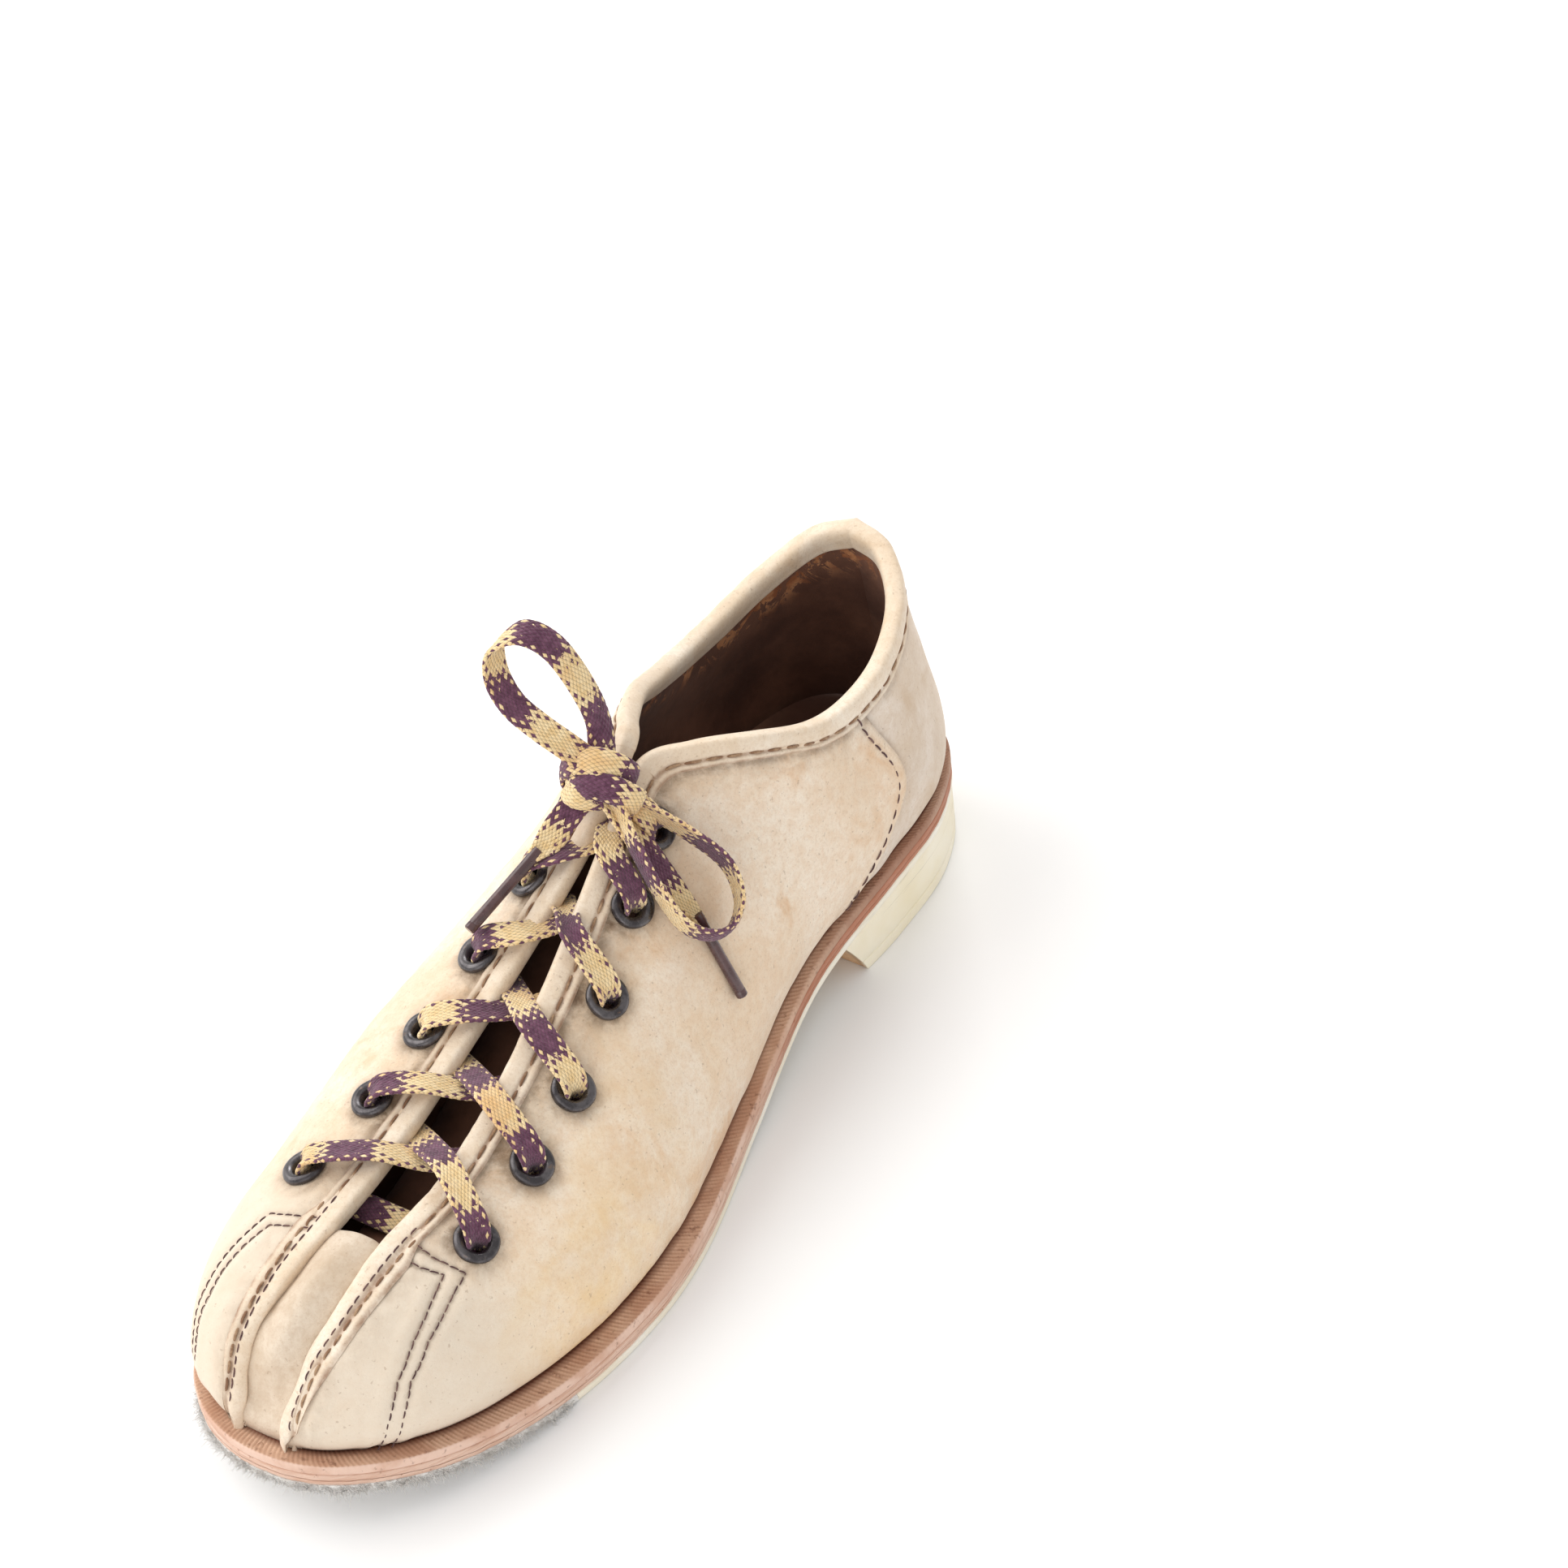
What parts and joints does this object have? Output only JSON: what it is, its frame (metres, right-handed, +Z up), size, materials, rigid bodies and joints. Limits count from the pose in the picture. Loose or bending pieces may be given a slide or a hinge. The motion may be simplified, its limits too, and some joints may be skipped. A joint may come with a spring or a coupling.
{
  "type": "bowling shoe",
  "caption": "Low left bowling shoe laced to the toe, with a split leather upper, a suede slide sole at the toe, a rubber sole and a low block heel.",
  "frame": {"origin": "centre of the footprint on the floor, under the sole", "axes": "+Z up from the floor; -Y towards the toe; +X towards the outer side of the foot"},
  "size_m": [0.0969, 0.2825, 0.1327],
  "materials": {
    "suede": "brushed grey-white suede",
    "white_rubber": "smooth, slightly yellowed",
    "sole_leather": "natural, split edge",
    "welt_leather": "ribbed, stained brown",
    "cork": "pressed cork",
    "steel": "plain",
    "heel_rubber": "smooth, slightly yellowed",
    "insole_leather": "worn smooth",
    "vamp_leather": "cream, stained and worn",
    "quarter_leather": "ivory, lightly worn",
    "binding_leather": "cream, smooth fold",
    "lining_leather": "dark brown, peeling in places",
    "stay_fabric": "woven tape",
    "counter_board": "stiffened leather board",
    "eyelet_enamel": "dark enamel, worn at the rim",
    "lace_cotton": "flat woven, plum and cream pattern",
    "aglet_plastic": "dark film tube"
  },
  "bodies": {
    "shoe": {"slide_sole": "suede", "rubber_sole": "white_rubber", "midsole": "sole_leather", "welt": "welt_leather", "cork_filler": "cork", "shank": "steel", "heel_block": "heel_rubber", "heel_top_piece": "heel_rubber", "heel_nails": "steel", "insole": "insole_leather", "sock_liner": "insole_leather", "toe_puff": "counter_board", "heel_counter": "counter_board", "toe_plug": "vamp_leather", "back_strip": "quarter_leather", "collar_binding": "binding_leather", "vamp_lateral": "vamp_leather", "quarter_lateral": "quarter_leather", "lining_lateral": "lining_leather", "eyelet_stay_lateral": "stay_fabric", "facing_binding_lateral": "binding_leather", "eyelet_lateral_1": "eyelet_enamel", "eyelet_lateral_2": "eyelet_enamel", "eyelet_lateral_3": "eyelet_enamel", "eyelet_lateral_4": "eyelet_enamel", "eyelet_lateral_5": "eyelet_enamel", "eyelet_lateral_6": "eyelet_enamel", "vamp_medial": "vamp_leather", "quarter_medial": "quarter_leather", "lining_medial": "lining_leather", "eyelet_stay_medial": "stay_fabric", "facing_binding_medial": "binding_leather", "eyelet_medial_1": "eyelet_enamel", "eyelet_medial_2": "eyelet_enamel", "eyelet_medial_3": "eyelet_enamel", "eyelet_medial_4": "eyelet_enamel", "eyelet_medial_5": "eyelet_enamel", "eyelet_medial_6": "eyelet_enamel", "lace_bar": "lace_cotton", "lace_cross_1": "lace_cotton", "lace_cross_2": "lace_cotton", "lace_cross_3": "lace_cotton", "lace_cross_4": "lace_cotton", "lace_cross_5": "lace_cotton", "lace_ends": "lace_cotton", "bow_knot": "lace_cotton", "bow_loop_upper": "lace_cotton", "bow_loop_lower": "lace_cotton", "lace_tail_lateral": "lace_cotton", "lace_tail_medial": "lace_cotton", "aglet_lateral": "aglet_plastic", "aglet_medial": "aglet_plastic"},
    "tongue": {"tongue": "lining_leather"}
  },
  "joints": [
    {"name": "tongue_swing", "type": "hinge", "parent": "shoe", "child": "tongue", "pos_m": [-0.002, -0.093, 0.038], "axis": [1, 0, 0], "range_deg": [0, 3]}
  ]
}
